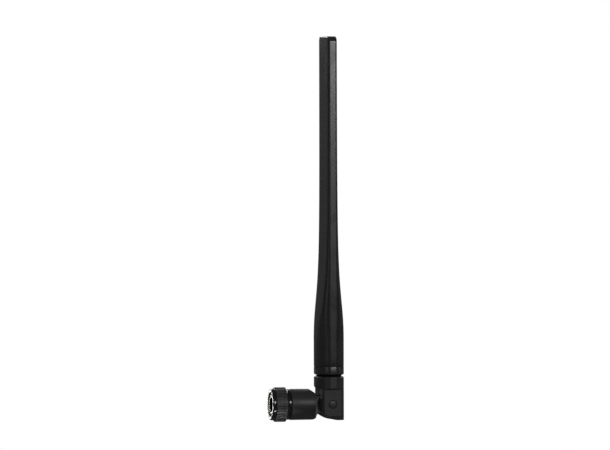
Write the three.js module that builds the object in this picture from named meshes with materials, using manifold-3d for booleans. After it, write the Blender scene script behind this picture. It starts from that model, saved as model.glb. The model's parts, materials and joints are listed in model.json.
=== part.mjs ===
// Articulated omnidirectional dipole antenna with a reverse-polarity TNC plug.
// Millimetres, +Z up. The origin is the centre of the plug's front face. The plug, the swivel
// knuckle and the hinge lie along +X, and the blade stands along +Z over the hinge (a 90 degree bend).
import * as THREE from "three";
import { mergeVertices } from "three/addons/utils/BufferGeometryUtils.js";
import Module from "manifold-3d";

const wasm = await Module();
wasm.setup();

// ---- driving dimensions ----

// hinge
const HINGE_X = 26.3; // hinge axis, parallel to Y, from the plug's front face
const TONGUE_HALF = 3.4; // half the knuckle tongue's width along Y
const SLOT_HALF = 3.75; // half the fork slot's width
const TONGUE_RADIUS = 3.6; // rounded tongue end, about the hinge axis
const SLOT_REACH = 4.1; // fork slot's inner walls, from the hinge axis
const SADDLE_RADIUS = 7.05; // knuckle end that wraps the housing's foot
const BROW_REACH = 5.6; // tip of the knuckle's upper lip, from the hinge axis
const CHEEK_ROUND = 5.65; // fork cheeks on the connector's side, about the hinge axis
const NECK_FACE = 4.6; // housing's face above the cheeks, from the hinge axis
const PIN_RADIUS = 1;
const PIN_HOLE_RADIUS = 1.08;
const PIN_HEAD_RADIUS = 1.3;
const COUNTERBORE_RADIUS = 1.75;
const COUNTERBORE_FLOOR = 8.1; // along Y
const CHEEK_FLAT = 8.8; // recessed flats of the housing, along Y
const FLAT_TOP = 6.9; // ledge over each flat
const FLAT_FOOT = -5.2; // where each flat turns under

// heights above the connector's axis
const HOUSING_BOTTOM = -6.85;
const HOUSING_TOP = 12.65;
const PLUG_BOTTOM = 12.75;
const SEAM = 16.7; // joint line between the neck plug's flange and the radome
const TIP = 161.6;

// blade section: half thickness along X, half width along Y
const FOOT_THICK = 6.32;
const TIP_THICK = 2.0;
const HALF_WIDTH = 10.5;
const WALL = 1;
const SWELL_MIDDLE = 47; // height where the blade is halfway between tip and foot thickness
const GROOVE_DEPTH = 1.1;

// connector, distances along X from the front face
const COLLAR_RADIUS = 6.9;
const KNURL_RADIUS = 7.63;
const KNURL_ROOT = 7.3;
const KNURL_RIBS = 45;
const NUT_END = 8.15;
const NUT_BORE = 6;
const THREAD_MAJOR = 5.55;
const THREAD_MINOR = 5.15;
const THREAD_PITCH = 0.907; // 28 threads per inch
const OUTER_CONTACT_RADIUS = 4.05;
const OUTER_CONTACT_BORE = 3.5;
const BARREL_RADIUS = 4.5;
const BARREL_END = 15;
const KNUCKLE_START = 8.4;
const KNUCKLE_BORE = 4.9;
const KNUCKLE_BORE_END = 16.2;
const CRIMP_BORE = 3.2;
const CHANNEL_HALF = 1.4; // cable channel through the tongue, half its width

// cable and circuit board
const COAX_RADIUS = 0.9;
const BEND_RADIUS = 3.3;
const BOARD_FOOT = 38.5;
const BOARD_TOP = 152;
const BOARD_HALF_THICK = 0.4;
const BOARD_HALF_WIDTH = 7;
const TRACE_GAP = 0.02;
const TRACE_THICK = 0.1;
const COAX_SHIFT = 1.62; // sideways offset that lays the cable beside the board
const COAX_END = 44.8;
const FEED_POINT = 94; // middle of the dipole

const AROUND = 36; // facets round the blade and the housing
const ROUND = 36; // facets round the connector

// ---- materials ----

function finish(color, roughness, metalness) {
  return new THREE.MeshStandardMaterial({ color, roughness, metalness });
}

const BLACK_SATIN = finish(0x1c1c1d, 0.42, 0);
const BLACK_GLOSS = finish(0x161617, 0.25, 0);
const NICKEL = finish(0xb9b6ae, 0.3, 1);
const GOLD = finish(0xd4a94a, 0.28, 1);
const STEEL = finish(0x8f9091, 0.35, 1);
const PTFE = finish(0xeeeae2, 0.55, 0);
const RUBBER = finish(0x24211f, 0.8, 0);
const BOARD_GREEN = finish(0x2f5a38, 0.5, 0);
const COPPER = finish(0xb87449, 0.35, 1);
const SOLDER = finish(0xc4c6c8, 0.3, 1);
const FOAM = finish(0x55565a, 0.95, 0);
const CABLE_BROWN = finish(0x7a4a2c, 0.45, 0);

// ---- solids ----

function toSolid(geometry) {
  const bare = new THREE.BufferGeometry();
  bare.setAttribute("position", geometry.attributes.position.clone());
  if (geometry.index) bare.setIndex(geometry.index.clone());
  const merged = mergeVertices(bare, 1e-4);
  const places = merged.attributes.position.array;
  const corner = (i) => new THREE.Vector3().fromArray(places, 3 * i);
  const faces = [];
  let volume = 0;
  for (let i = 0; i < merged.index.count; i += 3) {
    const [a, b, c] = merged.index.array.slice(i, i + 3);
    if (a === b || b === c || c === a) continue;
    faces.push([a, b, c]);
    volume += corner(a).dot(corner(b).cross(corner(c)));
  }
  if (volume < 0) faces.forEach((face) => face.reverse());
  const mesh = new wasm.Mesh({
    numProp: 3,
    vertProperties: new Float32Array(places),
    triVerts: new Uint32Array(faces.flat()),
  });
  return new wasm.Manifold(mesh);
}

function toGeometry(solid) {
  const mesh = solid.getMesh();
  const geometry = new THREE.BufferGeometry();
  geometry.setAttribute("position", new THREE.BufferAttribute(mesh.vertProperties, 3));
  geometry.setIndex(new THREE.BufferAttribute(mesh.triVerts, 1));
  geometry.computeVertexNormals();
  return geometry;
}

// A profile of [x, radius] points turned about the X axis.
function turned(profile, facets = ROUND) {
  const points = profile.map(([x, radius]) => new THREE.Vector2(radius, x));
  const geometry = new THREE.LatheGeometry(points, facets);
  geometry.rotateZ(-Math.PI / 2);
  return toSolid(geometry);
}

function ring(x0, x1, inner, outer, facets = ROUND) {
  return turned([[x0, inner], [x1, inner], [x1, outer], [x0, outer], [x0, inner]], facets);
}

function rod(x0, x1, radius, facets = ROUND) {
  return turned([[x0, 0], [x0, radius], [x1, radius], [x1, 0]], facets);
}

// Turns a solid made along X so that it runs along Y or Z instead, then moves it.
function alongY(solid, x = 0, z = 0) {
  return solid.rotate([0, 0, 90]).translate([x, 0, z]);
}

function alongZ(solid, x = 0, y = 0) {
  return solid.rotate([0, -90, 0]).translate([x, y, 0]);
}

function block(low, high) {
  const size = high.map((value, i) => value - low[i]);
  const geometry = new THREE.BoxGeometry(...size);
  geometry.translate(...low.map((value, i) => value + size[i] / 2));
  return toSolid(geometry);
}

// A shape drawn in the X-Z plane, extruded along Y from -half to +half.
function slab(shape, half) {
  const settings = { depth: 2 * half, bevelEnabled: false, curveSegments: 12 };
  const geometry = new THREE.ExtrudeGeometry(shape, settings);
  geometry.rotateX(Math.PI / 2);
  geometry.translate(0, half, 0);
  return toSolid(geometry);
}

// A flat pattern drawn in the Y-Z plane, extruded from x0 to x1.
function sheet(points, x0, x1) {
  const shape = new THREE.Shape(points.map(([y, z]) => new THREE.Vector2(y, z)));
  const geometry = new THREE.ExtrudeGeometry(shape, { depth: x1 - x0, bevelEnabled: false });
  geometry.rotateX(Math.PI / 2);
  geometry.rotateZ(Math.PI / 2);
  geometry.translate(x0, 0, 0);
  return toSolid(geometry);
}

function rectangle(y0, z0, y1, z1) {
  return [[y0, z0], [y1, z0], [y1, z1], [y0, z1]];
}

function tube(points, radius, sides, steps) {
  const path = new THREE.CatmullRomCurve3(points.map((p) => new THREE.Vector3(...p)));
  const circle = new THREE.Shape();
  circle.absarc(0, 0, radius, 0, 2 * Math.PI);
  const settings = { steps, extrudePath: path, curveSegments: sides / 2 };
  return toSolid(new THREE.ExtrudeGeometry(circle, settings));
}

// ---- oval column: the section that the blade, its foot and the housing share ----

// 0 at the tip and 1 at the foot
function swell(z) {
  const above = z - SWELL_MIDDLE;
  return 1 / (1 + Math.exp(above / (9 + 0.15 * above)));
}

// The broad faces bulge as half an ellipse at the foot and stay nearly flat at the tip.
// The narrow edges carry a flat strip of half width `edge`.
function bladeSection(z, inset = 0) {
  const foot = swell(z);
  return {
    thick: TIP_THICK + (FOOT_THICK - TIP_THICK) * foot - inset,
    wide: HALF_WIDTH - inset,
    edge: Math.max(1.15 - 0.25 * foot - inset, 0.1),
    squareness: 14 - 12 * foot,
  };
}

function sectionPoint(angle, section) {
  const across = Math.sin(angle);
  const bulge = Math.sqrt(1 - Math.abs(across) ** section.squareness);
  const half = section.edge + (section.thick - section.edge) * bulge;
  const side = Math.abs(Math.cos(angle)) < 1e-6 ? 0 : Math.sign(Math.cos(angle));
  return [side * half, section.wide * across];
}

// A closed column through the sections at the given heights, centred over the hinge axis.
function ovalColumn(levels, sectionAt) {
  const last = levels.length - 1;
  const geometry = new THREE.CylinderGeometry(1, 1, 1, AROUND, last);
  geometry.rotateX(Math.PI / 2);
  const place = geometry.attributes.position;
  for (let i = 0; i < place.count; i += 1) {
    const level = Math.round((place.getZ(i) + 0.5) * last);
    const z = levels[level];
    const fromCentre = Math.hypot(place.getX(i), place.getY(i));
    const angle = Math.atan2(place.getY(i), place.getX(i));
    const [x, y] = sectionPoint(angle, sectionAt(z));
    place.setXYZ(i, HINGE_X + fromCentre * x, fromCentre * y, z);
  }
  return toSolid(geometry);
}

function evenLevels(z0, z1, count) {
  return Array.from({ length: count + 1 }, (_, i) => z0 + ((z1 - z0) * i) / count);
}

function fixedOval(z0, z1, thick, wide) {
  return ovalColumn([z0, z1], () => ({ thick, wide, edge: 0.9, squareness: 2 }));
}

// ---- coupling nut ----

function couplingNutShell() {
  const envelope = [
    [0, NUT_BORE], [0, 6.4], [0.12, 6.7], [0.4, COLLAR_RADIUS], [1.35, COLLAR_RADIUS],
    [1.85, KNURL_RADIUS], [6.5, KNURL_RADIUS], [6.85, 7.1], [7.4, 6.6],
    [NUT_END, 6.35], [NUT_END, NUT_BORE], [0, NUT_BORE],
  ];
  const knurlRing = new THREE.Shape();
  const pitch = (2 * Math.PI) / KNURL_RIBS;
  for (let rib = 0; rib < KNURL_RIBS; rib += 1) {
    const corners = [[-0.42, KNURL_ROOT], [-0.16, KNURL_RADIUS], [0.16, KNURL_RADIUS], [0.42, KNURL_ROOT]];
    for (const [offset, radius] of corners) {
      const angle = (rib + offset) * pitch;
      const point = [radius * Math.cos(angle), radius * Math.sin(angle)];
      if (rib === 0 && offset < -0.4) knurlRing.moveTo(...point);
      else knurlRing.lineTo(...point);
    }
  }
  const ribLength = 5.6;
  const ribStart = 1.4;
  const geometry = new THREE.ExtrudeGeometry(knurlRing, { depth: ribLength, bevelEnabled: false });
  geometry.rotateY(Math.PI / 2);
  geometry.translate(ribStart, 0, 0);
  const beyondRibs = ring(ribStart, ribStart + ribLength, KNURL_ROOT - 1, KNURL_RADIUS + 1);
  const gaps = beyondRibs.subtract(toSolid(geometry));
  return turned(envelope).subtract(gaps);
}

function couplingThreadInsert() {
  const threadStart = 0.6;
  const threadCount = 5;
  const profile = [[0.05, 5.94], [0.05, THREAD_MAJOR]];
  for (let turn = 0; turn < threadCount; turn += 1) {
    const x = threadStart + turn * THREAD_PITCH;
    profile.push([x, THREAD_MAJOR], [x + THREAD_PITCH / 2, THREAD_MINOR]);
  }
  profile.push([threadStart + threadCount * THREAD_PITCH, THREAD_MAJOR]);
  profile.push([7.5, THREAD_MAJOR], [7.5, 4.7], [8, 4.7], [8, 5.94], [0.05, 5.94]);
  return turned(profile);
}

// ---- connector core ----

function outerContactShell() {
  return turned([
    [0.35, OUTER_CONTACT_BORE + 0.1], [0.35, OUTER_CONTACT_RADIUS - 0.15],
    [0.5, OUTER_CONTACT_RADIUS], [6, OUTER_CONTACT_RADIUS], [6, 5.2], [6.8, 5.2],
    [6.8, OUTER_CONTACT_RADIUS], [7.45, OUTER_CONTACT_RADIUS], [7.45, BARREL_RADIUS],
    [9.8, BARREL_RADIUS], [9.8, 3.95], [11.2, 3.95], [11.2, BARREL_RADIUS],
    [13, BARREL_RADIUS], [13, 4.05], [14.2, 4.05], [14.2, BARREL_RADIUS],
    [BARREL_END, BARREL_RADIUS], [BARREL_END, 2.35], [19, 2.35], [19, 1.3],
    [12.4, 1.3], [12.4, OUTER_CONTACT_BORE], [0.5, OUTER_CONTACT_BORE],
    [0.35, OUTER_CONTACT_BORE + 0.1],
  ]);
}

function connectorInsulator() {
  return ring(4.4, 11.9, 1.2, 3.4);
}

function centerContact() {
  return turned([
    [4, 0.7], [4, 1], [4.15, 1.1], [11.2, 1.1], [11.6, 0.8], [11.6, 0], [8, 0], [8, 0.7], [4, 0.7],
  ], 24);
}

function matingGasket() {
  return ring(5.2, 5.9, 4.15, 5.05, 32);
}

// A ring about the X axis with a gap cut through it at the top.
function splitRing(x0, x1, inner, outer, gap) {
  const slit = block([x0 - 1, -gap / 2, 0], [x1 + 1, gap / 2, outer + 1]);
  return ring(x0, x1, inner, outer, 32).subtract(slit);
}

function nutRetainingRing() {
  return splitRing(6.95, 7.3, 4.15, 5.4, 1.6);
}

function swivelClip() {
  return splitRing(13.25, 13.95, 4.15, 5.4, 2);
}

function swivelORing() {
  const middle = 10.5;
  const centre = 4.42;
  const section = 0.4;
  const profile = [];
  for (let i = 0; i <= 8; i += 1) {
    const angle = (i / 8) * 2 * Math.PI;
    profile.push([middle + section * Math.cos(angle), centre + section * Math.sin(angle)]);
  }
  return turned(profile, 32);
}

function crimpFerrule() {
  return ring(15.35, 19.3, 2.45, 2.9, 32);
}

function coaxKnuckleRun() {
  return rod(12, 21.6, COAX_RADIUS, 16);
}

// ---- swivel knuckle ----

function knuckleBody() {
  const silhouette = new THREE.Shape();
  const lipEnd = HINGE_X - 6.3;
  const lipRound = 1.6;
  const low = -6.86;
  const saddleTurn = Math.asin(4.12 / SADDLE_RADIUS);
  const browTurn = Math.acos(BROW_REACH / SADDLE_RADIUS);
  silhouette.moveTo(KNUCKLE_START - 1, low - 1);
  silhouette.lineTo(lipEnd - lipRound - 3, low - 0.4);
  silhouette.lineTo(lipEnd - lipRound, low + 0.06);
  silhouette.absarc(lipEnd - lipRound, low + 0.06 + lipRound, lipRound, -Math.PI / 2, 0, false);
  silhouette.absarc(HINGE_X, 0, SADDLE_RADIUS, Math.PI + saddleTurn, Math.PI - browTurn, true);
  silhouette.lineTo(HINGE_X - 6.4, 4.5);
  silhouette.lineTo(HINGE_X - 9.3, 6.8);
  silhouette.lineTo(HINGE_X - 9.6, 8);
  silhouette.lineTo(KNUCKLE_START - 1, 8);
  const barrel = turned([
    [KNUCKLE_START, 0], [KNUCKLE_START, 6.1], [KNUCKLE_START + 0.2, 6.5], [KNUCKLE_START + 0.6, 6.86],
    [HINGE_X - 5, 6.76], [HINGE_X - 5, 0],
  ]);
  let body = barrel.intersect(slab(silhouette, 8));
  for (const side of [-1, 1]) {
    const edges = [side * TONGUE_HALF, side * 8].sort((a, b) => a - b);
    body = body.subtract(block([HINGE_X - SADDLE_RADIUS, edges[0], -8], [HINGE_X, edges[1], 0]));
  }
  const eye = alongY(rod(-TONGUE_HALF, TONGUE_HALF, TONGUE_RADIUS, 36), HINGE_X);
  const tongueRoot = HINGE_X - 9;
  const bar = block([tongueRoot, -TONGUE_HALF, -TONGUE_RADIUS], [HINGE_X, TONGUE_HALF, TONGUE_RADIUS]);
  body = body.add(bar).add(eye);
  const bore = turned([
    [KNUCKLE_START - 1, 0], [KNUCKLE_START - 1, KNUCKLE_BORE], [13, KNUCKLE_BORE], [13, 5.55],
    [14.2, 5.55], [14.2, KNUCKLE_BORE], [KNUCKLE_BORE_END, KNUCKLE_BORE],
    [KNUCKLE_BORE_END, CRIMP_BORE], [19.8, CRIMP_BORE], [19.8, 1.2], [23, 1.2], [23, 0],
  ]);
  const channel = block([21.2, -CHANNEL_HALF, -1.3], [HINGE_X + 5, CHANNEL_HALF, 5]);
  const pinHole = alongY(rod(-5, 5, PIN_HOLE_RADIUS, 24), HINGE_X);
  return body.subtract(bore).subtract(channel).subtract(pinHole);
}

function coaxBend() {
  const corner = HINGE_X - BEND_RADIUS;
  const points = [[21.9, 0, 0], [corner - 0.4, 0, 0]];
  for (let step = 0; step <= 4; step += 1) {
    const angle = (step / 4) * (Math.PI / 2);
    const x = corner + BEND_RADIUS * Math.sin(angle);
    const z = BEND_RADIUS * (1 - Math.cos(angle));
    points.push([x, 0, z]);
  }
  points.push([HINGE_X, 0, BEND_RADIUS + 1.2]);
  return tube(points, COAX_RADIUS, 8, 16);
}

// ---- hinge housing and pins ----

// Side outline: cheeks rounded about the hinge axis on the connector's side, square on the other.
function housingSide() {
  const side = new THREE.Shape();
  const neckTurn = Math.acos(NECK_FACE / CHEEK_ROUND);
  const footTurn = (55 * Math.PI) / 180;
  side.moveTo(HINGE_X + 5.9, HOUSING_BOTTOM);
  side.lineTo(HINGE_X + 8, HOUSING_BOTTOM + 1.4);
  side.lineTo(HINGE_X + 8, HOUSING_TOP);
  side.lineTo(HINGE_X - 8, HOUSING_TOP);
  side.lineTo(HINGE_X - 8, 9.77);
  side.lineTo(HINGE_X - NECK_FACE, 7);
  side.absarc(HINGE_X, 0, CHEEK_ROUND, Math.PI - neckTurn, Math.PI + footTurn, false);
  side.quadraticCurveTo(HINGE_X, HOUSING_BOTTOM, HINGE_X + 2.6, HOUSING_BOTTOM);
  return side;
}

// What is cut from the outside of a cheek: a flat under a ledge, turned under at the foot.
function cheekRecess(side) {
  const outline = [
    [12, FLAT_TOP], [CHEEK_FLAT, FLAT_TOP], [CHEEK_FLAT, FLAT_FOOT], [CHEEK_FLAT - 0.15, FLAT_FOOT],
    [8.5, -5.8], [8.1, -6.4], [7.4, HOUSING_BOTTOM], [7.4, HOUSING_BOTTOM - 1], [12, HOUSING_BOTTOM - 1],
  ];
  return sheet(outline.map(([y, z]) => [side * y, z]), HINGE_X - 7, HINGE_X + 7);
}

function housingSection(z) {
  const chamfer = Math.max(0, 1 - (HOUSING_TOP - z) / 0.65);
  return bladeSection(HOUSING_BOTTOM, GROOVE_DEPTH * chamfer);
}

function hingeHousing() {
  const levels = [HOUSING_BOTTOM, HOUSING_TOP - 0.65, HOUSING_TOP];
  let body = ovalColumn(levels, housingSection).intersect(slab(housingSide(), 12));
  const slot = block(
    [HINGE_X - 9, -SLOT_HALF, HOUSING_BOTTOM - 1],
    [HINGE_X + SLOT_REACH, SLOT_HALF, SLOT_REACH],
  );
  const lipNotch = block(
    [HINGE_X + SLOT_REACH - 1, -SLOT_HALF, HOUSING_BOTTOM - 1],
    [HINGE_X + 9, SLOT_HALF, HOUSING_BOTTOM + 1.35],
  );
  const socket = fixedOval(9, HOUSING_TOP + 1, 3.6, 7.6);
  const cableHole = alongZ(rod(SLOT_REACH - 1, 10, 1.2, 20), HINGE_X);
  const springHole = alongZ(rod(SLOT_REACH - 1, 8.6, 0.8, 16), HINGE_X, 2.5);
  const pinHole = alongY(rod(-12, 12, PIN_HOLE_RADIUS, 24), HINGE_X);
  for (const cut of [slot, lipNotch, socket, cableHole, springHole, pinHole]) {
    body = body.subtract(cut);
  }
  for (const side of [-1, 1]) {
    const rim = [side * COUNTERBORE_FLOOR, side * 12].sort((a, b) => a - b);
    body = body.subtract(cheekRecess(side));
    body = body.subtract(alongY(rod(rim[0], rim[1], COUNTERBORE_RADIUS, 28), HINGE_X));
  }
  return body;
}

// A stub pin with a domed head. It stops short of the cable at the hinge's centre.
function hingePin(side) {
  const inner = 1.75;
  const seat = COUNTERBORE_FLOOR + 0.05;
  const profile = [
    [inner, 0], [inner, PIN_RADIUS], [seat, PIN_RADIUS], [seat, PIN_HEAD_RADIUS],
    [8.65, PIN_HEAD_RADIUS], [8.85, 1], [8.97, 0.5], [9, 0],
  ];
  return alongY(turned(profile.map(([y, r]) => [side * y, r]), 24), HINGE_X);
}

function pinWasher(side) {
  const faces = [side * (TONGUE_HALF + 0.08), side * (SLOT_HALF - 0.07)].sort((a, b) => a - b);
  return alongY(ring(faces[0], faces[1], 1.15, 2.6, 24), HINGE_X);
}

function detentBall() {
  const radius = 0.72;
  const geometry = new THREE.SphereGeometry(radius, 12, 8);
  geometry.translate(HINGE_X, 2.5, TONGUE_RADIUS + 0.1 + radius);
  return toSolid(geometry);
}

function detentSpring() {
  const turns = 4;
  const low = 5.45;
  const high = 8.35;
  const points = [];
  for (let i = 0; i <= turns * 10; i += 1) {
    const angle = (i / 10) * 2 * Math.PI;
    const z = low + ((high - low) * i) / (turns * 10);
    points.push([HINGE_X + 0.52 * Math.cos(angle), 2.5 + 0.52 * Math.sin(angle), z]);
  }
  return tube(points, 0.13, 6, 40);
}

// ---- blade ----

function neckPlug() {
  const flangeLevels = [PLUG_BOTTOM, PLUG_BOTTOM + 0.65, SEAM - 0.1];
  const flange = ovalColumn(flangeLevels, (z) => {
    const chamfer = Math.max(0, 1 - (z - PLUG_BOTTOM) / 0.65);
    return bladeSection(HOUSING_BOTTOM, GROOVE_DEPTH * chamfer);
  });
  const lowerSpigot = fixedOval(9.3, PLUG_BOTTOM + 0.5, 3.4, 7.4);
  const upperSpigot = ovalColumn([SEAM - 0.5, 25], (z) => bladeSection(z, WALL + 0.25));
  const cableHole = alongZ(rod(8, 26, 1.6, 20), HINGE_X);
  return flange.add(lowerSpigot).add(upperSpigot).subtract(cableHole);
}

// Corner rounding of the tip: how far the section draws in at a height, for a given corner radius.
function tipInset(z, radius) {
  const intoCorner = Math.max(0, z - (TIP - radius));
  return radius - Math.sqrt(Math.max(0, radius ** 2 - intoCorner ** 2));
}

function radomeSection(z) {
  const section = bladeSection(z);
  section.thick -= tipInset(z, 0.9);
  section.wide -= tipInset(z, 2.6);
  section.edge -= 0.8 * tipInset(z, 0.9);
  return section;
}

function radomeShell() {
  const tipLevels = [TIP - 2.6, TIP - 1.6, TIP - 0.9, TIP - 0.45, TIP - 0.15, TIP];
  const outer = ovalColumn([...evenLevels(SEAM + 0.05, TIP - 3.4, 18), ...tipLevels], radomeSection);
  const innerLevels = evenLevels(SEAM - 1, TIP - 3, 15);
  const inner = ovalColumn(innerLevels, (z) => bladeSection(z, WALL));
  return outer.subtract(inner);
}

function dipoleBoard() {
  return block(
    [HINGE_X - BOARD_HALF_THICK, -BOARD_HALF_WIDTH, BOARD_FOOT],
    [HINGE_X + BOARD_HALF_THICK, BOARD_HALF_WIDTH, BOARD_TOP],
  );
}

// Copper on the front (+1, +X side) or the back (-1) of the board.
function copper(side, outline) {
  const near = HINGE_X + side * (BOARD_HALF_THICK + TRACE_GAP);
  const far = near + side * TRACE_THICK;
  return sheet(outline, Math.min(near, far), Math.max(near, far));
}

function feedLine() {
  return copper(1, rectangle(-0.6, 47.6, 0.6, FEED_POINT - 0.5));
}

function groundLine() {
  return copper(-1, rectangle(-1.5, 42, 1.5, FEED_POINT - 30));
}

function upperRadiator() {
  return copper(1, rectangle(-2, FEED_POINT, 2, FEED_POINT + 29));
}

// Two arms that hang beside the feed line, joined by a bar at the dipole's middle.
function lowerRadiator() {
  const reach = 28;
  const top = FEED_POINT - 1;
  return copper(-1, [
    [-5.5, top - reach], [-2.5, top - reach], [-2.5, top - 3], [2.5, top - 3],
    [2.5, top - reach], [5.5, top - reach], [5.5, top], [-5.5, top],
  ]);
}

function highBandRadiator() {
  const reach = 12;
  const low = FEED_POINT + 1;
  return copper(-1, [
    [-5.5, low], [5.5, low], [5.5, low + reach], [3.5, low + reach],
    [3.5, low + 2], [-3.5, low + 2], [-3.5, low + reach], [-5.5, low + reach],
  ]);
}

function coaxBladeRun() {
  const side = HINGE_X + COAX_SHIFT;
  return tube([
    [HINGE_X, 0, BEND_RADIUS + 1.6], [HINGE_X, 0, 12], [HINGE_X, 0, 22], [HINGE_X, 0, 30],
    [HINGE_X + 0.2, 0, 32], [side - 0.2, 0, 36], [side, 0, 38], [side, 0, 42], [side, 0, COAX_END],
  ], COAX_RADIUS, 8, 26);
}

function balunSleeve() {
  return alongZ(ring(25.4, 29.6, 1.15, 1.9, 24), HINGE_X);
}

function cableSleeve() {
  return alongZ(ring(40.5, 43.5, 0.98, 1.12, 24), HINGE_X + COAX_SHIFT);
}

function solderJoint(y, z, width) {
  const geometry = new THREE.SphereGeometry(1, 12, 8);
  geometry.scale(0.5, width, 0.9);
  geometry.translate(HINGE_X + BOARD_HALF_THICK + 0.55, y, z);
  return toSolid(geometry);
}

function boardPad(z0, z1, thickness) {
  const near = HINGE_X + BOARD_HALF_THICK + 0.15;
  return block([near, -4, z0], [near + thickness, 4, z1]);
}

// ---- assembly ----

const antenna = new THREE.Group();

function add(name, solid, material) {
  const mesh = new THREE.Mesh(toGeometry(solid), material);
  mesh.name = name;
  antenna.add(mesh);
}

add("coupling_nut_shell", couplingNutShell(), BLACK_GLOSS);
add("coupling_thread_insert", couplingThreadInsert(), NICKEL);
add("outer_contact_shell", outerContactShell(), NICKEL);
add("connector_insulator", connectorInsulator(), PTFE);
add("center_contact", centerContact(), GOLD);
add("mating_gasket", matingGasket(), RUBBER);
add("nut_retaining_ring", nutRetainingRing(), STEEL);
add("swivel_clip", swivelClip(), STEEL);
add("swivel_o_ring", swivelORing(), RUBBER);
add("crimp_ferrule", crimpFerrule(), NICKEL);
add("coax_knuckle_run", coaxKnuckleRun(), CABLE_BROWN);
add("knuckle_body", knuckleBody(), BLACK_SATIN);
add("coax_bend", coaxBend(), CABLE_BROWN);
add("hinge_housing", hingeHousing(), BLACK_SATIN);
add("hinge_pin_near", hingePin(-1), BLACK_GLOSS);
add("hinge_pin_far", hingePin(1), BLACK_GLOSS);
add("pin_washer_near", pinWasher(-1), STEEL);
add("pin_washer_far", pinWasher(1), STEEL);
add("detent_ball", detentBall(), STEEL);
add("detent_spring", detentSpring(), STEEL);
add("neck_plug", neckPlug(), BLACK_SATIN);
add("radome_shell", radomeShell(), BLACK_SATIN);
add("coax_blade_run", coaxBladeRun(), CABLE_BROWN);
add("balun_sleeve", balunSleeve(), STEEL);
add("cable_sleeve", cableSleeve(), RUBBER);
add("dipole_board", dipoleBoard(), BOARD_GREEN);
add("feed_line", feedLine(), COPPER);
add("ground_line", groundLine(), COPPER);
add("upper_radiator", upperRadiator(), COPPER);
add("lower_radiator", lowerRadiator(), COPPER);
add("high_band_radiator", highBandRadiator(), COPPER);
add("feed_solder", solderJoint(0, 46.2, 0.6), SOLDER);
add("ground_solder", solderJoint(-2.2, 44.2, 0.7), SOLDER);
add("board_pad_lower", boardPad(52, 57, 1.1), FOAM);
add("board_pad_upper", boardPad(138, 145, 0.4), FOAM);

export default antenna;
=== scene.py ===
"""Looks of the articulated omnidirectional antenna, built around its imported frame.

Lengths are in millimetres until a mesh is made, where MM turns them into metres. The frame gives the
hinge axis and every node's box. The blade stands along +Z and the plug looks along -X.
"""
import json
import math

import bmesh
import bpy
from mathutils import Matrix, Vector


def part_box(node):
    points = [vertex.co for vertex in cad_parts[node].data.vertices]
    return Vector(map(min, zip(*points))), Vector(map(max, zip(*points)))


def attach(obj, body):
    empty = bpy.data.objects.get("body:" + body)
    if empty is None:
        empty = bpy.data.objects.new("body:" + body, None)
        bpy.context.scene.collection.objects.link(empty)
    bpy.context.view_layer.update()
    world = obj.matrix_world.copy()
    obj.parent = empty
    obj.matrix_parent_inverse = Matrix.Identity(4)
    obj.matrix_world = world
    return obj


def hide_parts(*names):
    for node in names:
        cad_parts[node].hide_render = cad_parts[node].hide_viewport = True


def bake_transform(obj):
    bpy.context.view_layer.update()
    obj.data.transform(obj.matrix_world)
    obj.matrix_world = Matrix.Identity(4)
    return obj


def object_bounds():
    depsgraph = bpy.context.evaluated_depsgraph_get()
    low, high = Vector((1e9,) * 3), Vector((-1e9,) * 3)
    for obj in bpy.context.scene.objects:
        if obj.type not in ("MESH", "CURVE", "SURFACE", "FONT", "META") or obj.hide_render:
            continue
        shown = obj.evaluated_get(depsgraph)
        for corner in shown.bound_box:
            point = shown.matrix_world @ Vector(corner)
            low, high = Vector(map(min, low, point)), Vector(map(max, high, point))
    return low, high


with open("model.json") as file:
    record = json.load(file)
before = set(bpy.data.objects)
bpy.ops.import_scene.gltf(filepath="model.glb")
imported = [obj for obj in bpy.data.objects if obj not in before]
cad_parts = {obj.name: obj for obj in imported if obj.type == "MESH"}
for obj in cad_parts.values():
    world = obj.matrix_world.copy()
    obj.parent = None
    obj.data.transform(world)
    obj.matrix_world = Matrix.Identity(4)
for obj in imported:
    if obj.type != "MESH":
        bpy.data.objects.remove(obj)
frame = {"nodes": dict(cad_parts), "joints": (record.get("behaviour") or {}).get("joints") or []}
cad_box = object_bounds()

MM = 0.001

# ---- places and sizes from the frame ----


def node_box(node):
    """The low and high corners of a node's box, in millimetres."""
    low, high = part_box(node)
    return Vector(low) / MM, Vector(high) / MM


def joint_place(name):
    """Where a joint's axis stands, in millimetres."""
    joint = next(j for j in frame["joints"] if j["name"] == name)
    return Vector(joint["pos_m"]) / MM


HINGE = joint_place("elbow_tilt")
RADOME_LOW, RADOME_HIGH = node_box("radome_shell")
HOUSING_LOW, HOUSING_HIGH = node_box("hinge_housing")
NECK_LOW, NECK_HIGH = node_box("neck_plug")
NUT_HIGH = node_box("coupling_nut_shell")[1]
INSERT_LOW, INSERT_HIGH = node_box("coupling_thread_insert")
SHELL_LOW, SHELL_HIGH = node_box("outer_contact_shell")
INSULATOR_LOW, INSULATOR_HIGH = node_box("connector_insulator")
CONTACT_LOW, CONTACT_HIGH = node_box("center_contact")
GASKET_LOW, GASKET_HIGH = node_box("mating_gasket")
KNUCKLE_LOW = node_box("knuckle_body")[0]
PIN_HIGH = node_box("hinge_pin_far")[1]
BEND_LOW = node_box("coax_bend")[0]

# ---- blade section ----

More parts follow.
